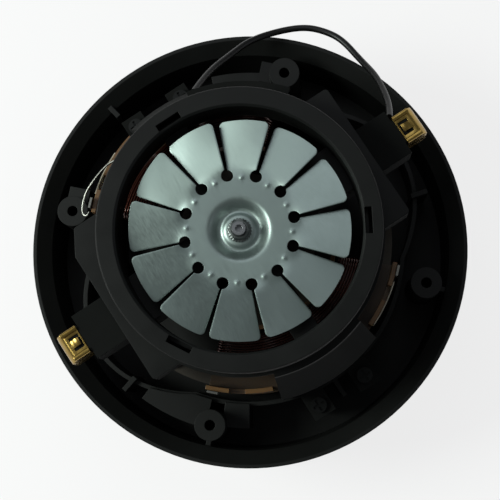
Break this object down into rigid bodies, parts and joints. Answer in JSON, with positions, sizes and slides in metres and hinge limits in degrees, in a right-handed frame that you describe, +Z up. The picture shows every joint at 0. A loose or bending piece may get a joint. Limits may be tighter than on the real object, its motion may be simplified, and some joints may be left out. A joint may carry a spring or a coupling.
{
  "type": "vacuum motor unit",
  "caption": "Brushed vacuum cleaner motor in a round blower housing with a cooling fan on top and a suction impeller below.",
  "frame": {"origin": "on the shaft's axis, in the plane of the blower housing's lower edge", "axes": "+Z up the shaft towards the cooling fan, +X along the brushes, +Y over one field pole"},
  "size_m": [0.177, 0.177, 0.118],
  "materials": {
    "housing_plastic": "fine-textured moulded black plastic",
    "frame_plastic": "fine-textured moulded black plastic",
    "bobbin_plastic": "tan moulded plastic",
    "seal_rubber": "matt black rubber",
    "lamination_steel": "stacked sheet edges",
    "zinc_steel": "zinc-plated screws",
    "bearing_steel": "ground and polished",
    "shaft_steel": "ground",
    "enamelled_copper": "enamelled copper wire",
    "copper": "bare copper bars",
    "brass": "stamped brass",
    "carbon": "pressed carbon",
    "moulding_compound": "brown moulding compound",
    "fan_steel": "bright pressed sheet",
    "impeller_aluminium": "pressed aluminium sheet",
    "lead_insulation": "black insulated lead",
    "tinned_wire": "tinned wire and tabs",
    "clear_film": "pale insulating film"
  },
  "bodies": {
    "root": {"base_housing": "housing_plastic", "blower_cover": "housing_plastic", "cover_screws": "zinc_steel", "inlet_seal": "seal_rubber", "stator_core": "lamination_steel", "stator_screws": "zinc_steel", "top_frame": "frame_plastic", "frame_screws": "zinc_steel", "upper_bearing_outer_ring": "bearing_steel", "upper_bearing_balls": "bearing_steel", "lower_bearing_outer_ring": "bearing_steel", "lower_bearing_balls": "bearing_steel", "coil_terminals": "tinned_wire", "lead_wire": "lead_insulation", "bare_lead": "tinned_wire", "field_bobbin_a": "bobbin_plastic", "field_coil_a": "enamelled_copper", "field_winding_a": "enamelled_copper", "insulation_film_a": "clear_film", "brush_tube_a": "brass", "brush_spring_a": "bearing_steel", "brush_clip_a": "brass", "field_bobbin_b": "bobbin_plastic", "field_coil_b": "enamelled_copper", "field_winding_b": "enamelled_copper", "insulation_film_b": "clear_film", "brush_tube_b": "brass", "brush_spring_b": "bearing_steel", "brush_clip_b": "brass"},
    "rotor": {"shaft": "shaft_steel", "armature_core": "lamination_steel", "armature_winding": "enamelled_copper", "commutator_hub": "moulding_compound", "commutator_bars": "copper", "fan_spacer": "shaft_steel", "cooling_fan": "fan_steel", "fan_nut": "zinc_steel", "impeller_spacer": "shaft_steel", "impeller_back_plate": "impeller_aluminium", "impeller_front_plate": "impeller_aluminium", "impeller_vanes": "impeller_aluminium", "impeller_washer": "zinc_steel", "impeller_nut": "zinc_steel", "upper_bearing_inner_ring": "bearing_steel", "lower_bearing_inner_ring": "bearing_steel"},
    "brush_a": {"carbon_brush_a": "carbon"},
    "brush_b": {"carbon_brush_b": "carbon"}
  },
  "joints": [
    {"name": "rotor_spin", "type": "hinge", "parent": "root", "child": "rotor", "pos_m": [0, 0, 0.06], "axis": [0, 0, 1], "continuous": true},
    {"name": "brush_a_slide", "type": "slide", "parent": "root", "child": "brush_a", "axis": [1, 0, 0], "range_m": [0, 0.006], "deforming": ["brush_spring_a"]},
    {"name": "brush_b_slide", "type": "slide", "parent": "root", "child": "brush_b", "axis": [-1, 0, 0], "range_m": [0, 0.006], "deforming": ["brush_spring_b"]}
  ]
}
